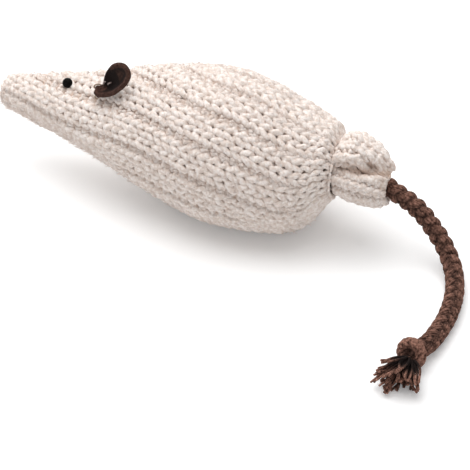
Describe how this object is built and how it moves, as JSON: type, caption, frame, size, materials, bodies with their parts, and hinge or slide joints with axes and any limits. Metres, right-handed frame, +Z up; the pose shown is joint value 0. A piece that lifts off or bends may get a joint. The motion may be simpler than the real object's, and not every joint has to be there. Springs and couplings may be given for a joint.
{
  "type": "catnip toy mouse",
  "caption": "Rib-knitted toy mouse stuffed round a catnip sachet, with cupped felt ears, bead eyes, a gathered ruff at the neck tie and a plaited cord tail with a knot and tassel",
  "frame": {"origin": "On the surface that the mouse rests on, in the flat under the widest section of the belly", "axes": "+X runs from the nose to the tail, +Y to the mouse's right as it lies, +Z up; the mouse is rolled 40 degrees about X onto its right side"},
  "size_m": [0.1607, 0.0886, 0.0515],
  "materials": {
    "knit": "cream heather wool, two by two rib",
    "felt": "dark brown pressed felt",
    "cord": "dark brown plaited cotton",
    "sewing_thread": "brown twisted thread",
    "bead": "polished black",
    "fibre_filling": "loose white fibre",
    "muslin": "plain undyed weave",
    "dried_leaf": "crumbled dried leaf"
  },
  "bodies": {
    "mouse": {"body_cover": "knit", "back_seam_yarn": "knit", "neck_tie": "sewing_thread", "stuffing_front": "fibre_filling", "stuffing_rear": "fibre_filling", "catnip_sachet": "muslin", "catnip_fill": "dried_leaf", "ear_stitch_left_front": "sewing_thread", "ear_stitch_left_back": "sewing_thread", "ear_stitch_right_front": "sewing_thread", "ear_stitch_right_back": "sewing_thread", "eye_left": "bead", "eye_right": "bead", "eye_thread": "sewing_thread", "tail_anchor": "cord"},
    "ruff": {"tail_ruff": "knit", "tail_root": "cord"},
    "tail": {"tail_cord": "cord", "tail_end_knot": "cord", "tail_tassel": "cord"},
    "left_ear": {"ear_left": "felt"},
    "right_ear": {"ear_right": "felt"}
  },
  "joints": [
    {"name": "ruff_flop", "type": "hinge", "parent": "mouse", "child": "ruff", "pos_m": [0.038, 0, 0.02592], "axis": [0, -1, 0], "range_deg": [0, 10]},
    {"name": "tail_swing", "type": "hinge", "parent": "ruff", "child": "tail", "pos_m": [0.04672, 0, 0.02542], "axis": [0, 0, 1], "range_deg": [-12, 20]},
    {"name": "ear_left_fold", "type": "hinge", "parent": "mouse", "child": "left_ear", "pos_m": [-0.03935, -0.00783, 0.03995], "axis": [0.4341, -0.8438, -0.3156], "range_deg": [-12, 40], "stiffness_Nm_per_rad": 0.0002},
    {"name": "ear_right_fold", "type": "hinge", "parent": "mouse", "child": "right_ear", "pos_m": [-0.03935, 0.01518, 0.02064], "axis": [-0.4341, 0.1643, 0.8858], "range_deg": [-12, 40], "stiffness_Nm_per_rad": 0.0002}
  ]
}
